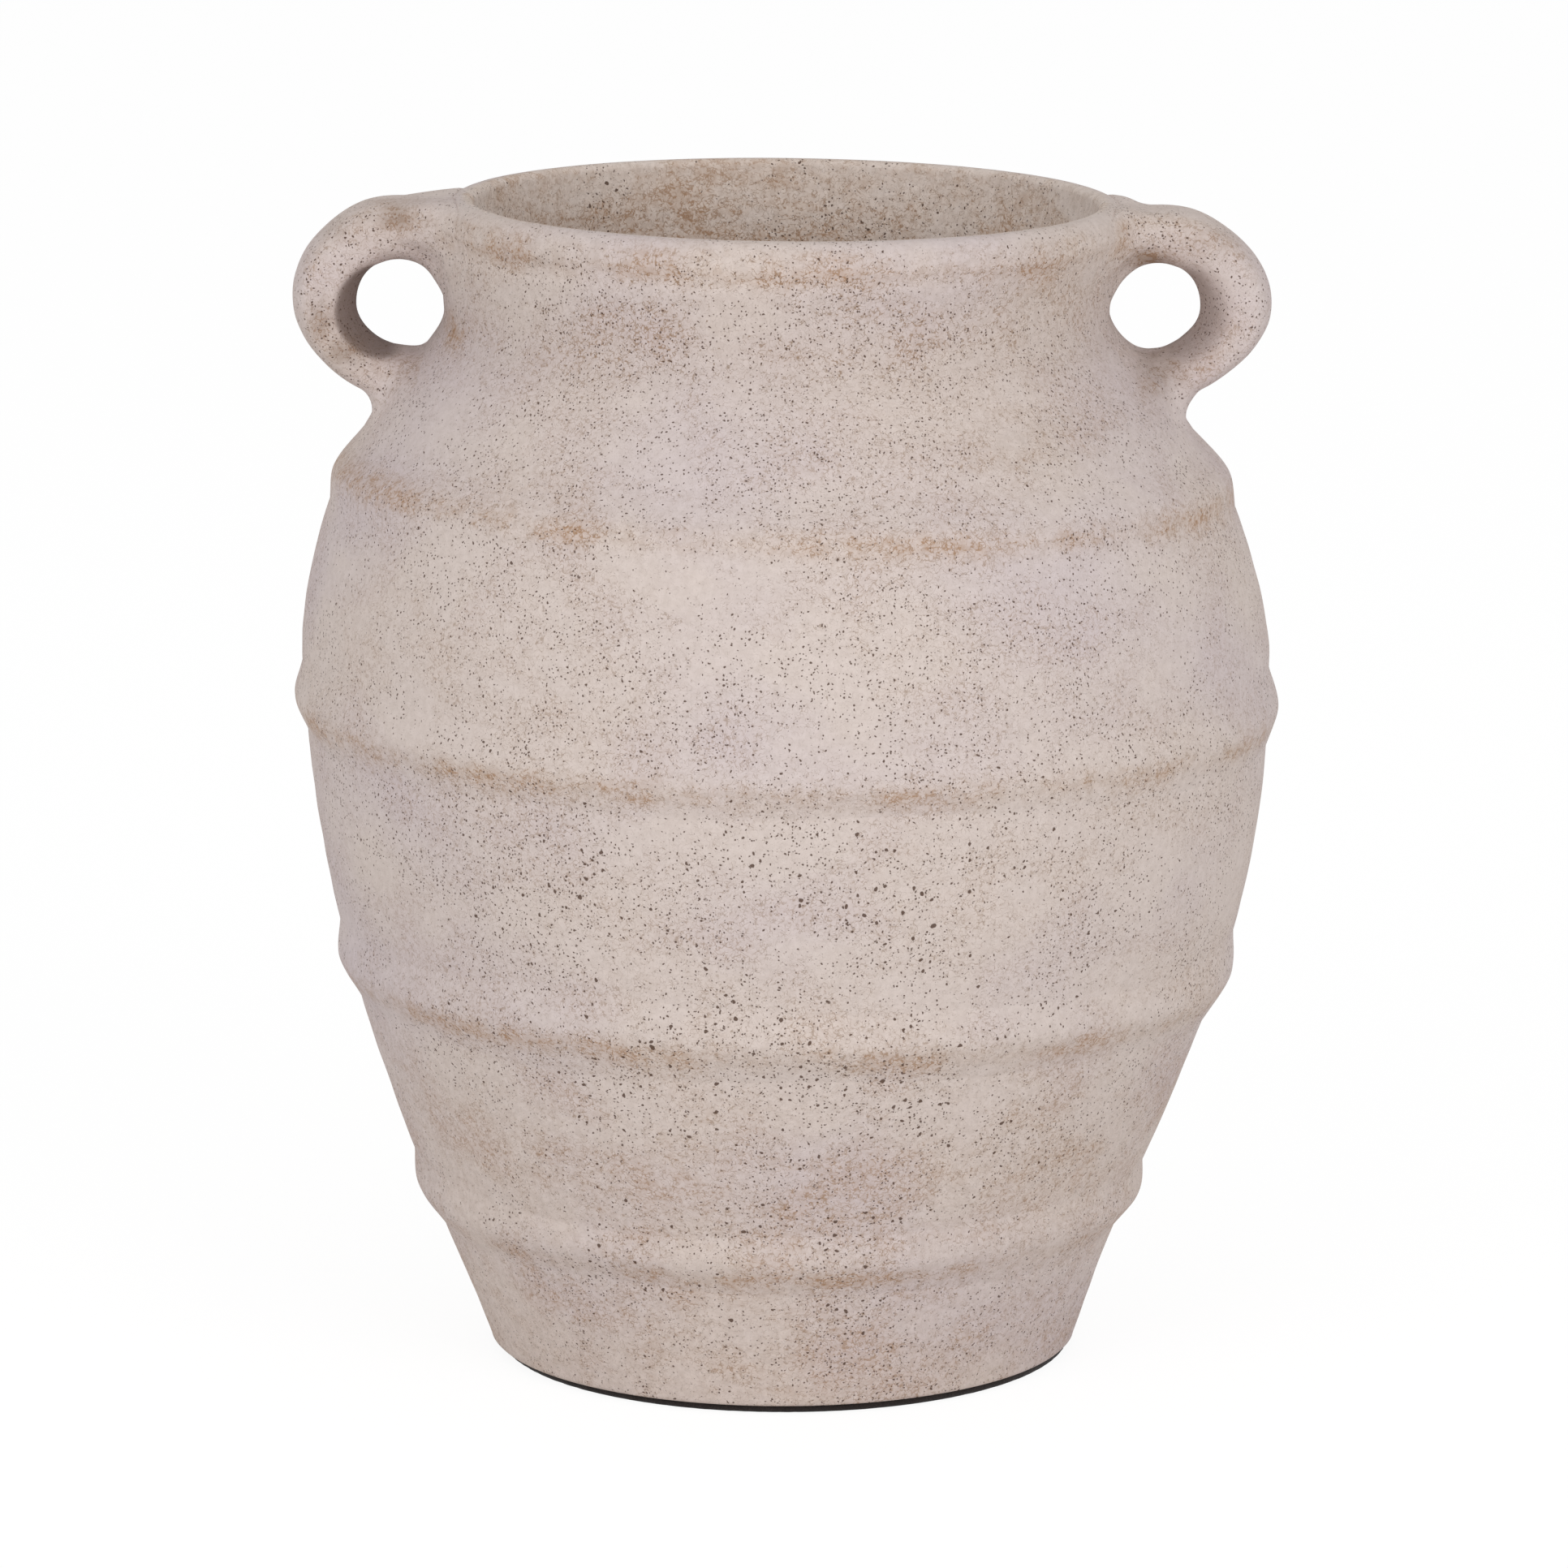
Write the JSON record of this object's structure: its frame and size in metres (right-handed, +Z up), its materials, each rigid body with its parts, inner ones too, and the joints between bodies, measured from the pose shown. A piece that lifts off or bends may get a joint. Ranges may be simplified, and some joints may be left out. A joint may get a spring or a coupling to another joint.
{
  "type": "jug vase",
  "caption": "Wide-mouthed jug vase with a rolled lip, ring handles at the neck, a barrel body with applied clay bands and a thin felt pad under the foot.",
  "frame": {"origin": "centre of the pad's underside, on the vase's axis, where the vase rests", "axes": "+Z up along the vase's axis, -Y towards the front that the picture shows, +X to the right of that front, through the right handle"},
  "size_m": [0.2593, 0.2594, 0.306],
  "materials": {
    "whitewashed_clay": "matte porous earthenware under a thin worn whitewash, with brown staining in the creases",
    "pad_felt": "dense dark brown felt"
  },
  "bodies": {
    "root": {"vase_body": "whitewashed_clay", "shoulder_band": "whitewashed_clay", "belly_band": "whitewashed_clay", "lower_band": "whitewashed_clay", "foot_band": "whitewashed_clay", "left_handle": "whitewashed_clay", "right_handle": "whitewashed_clay", "base_pad": "pad_felt"}
  },
  "joints": []
}
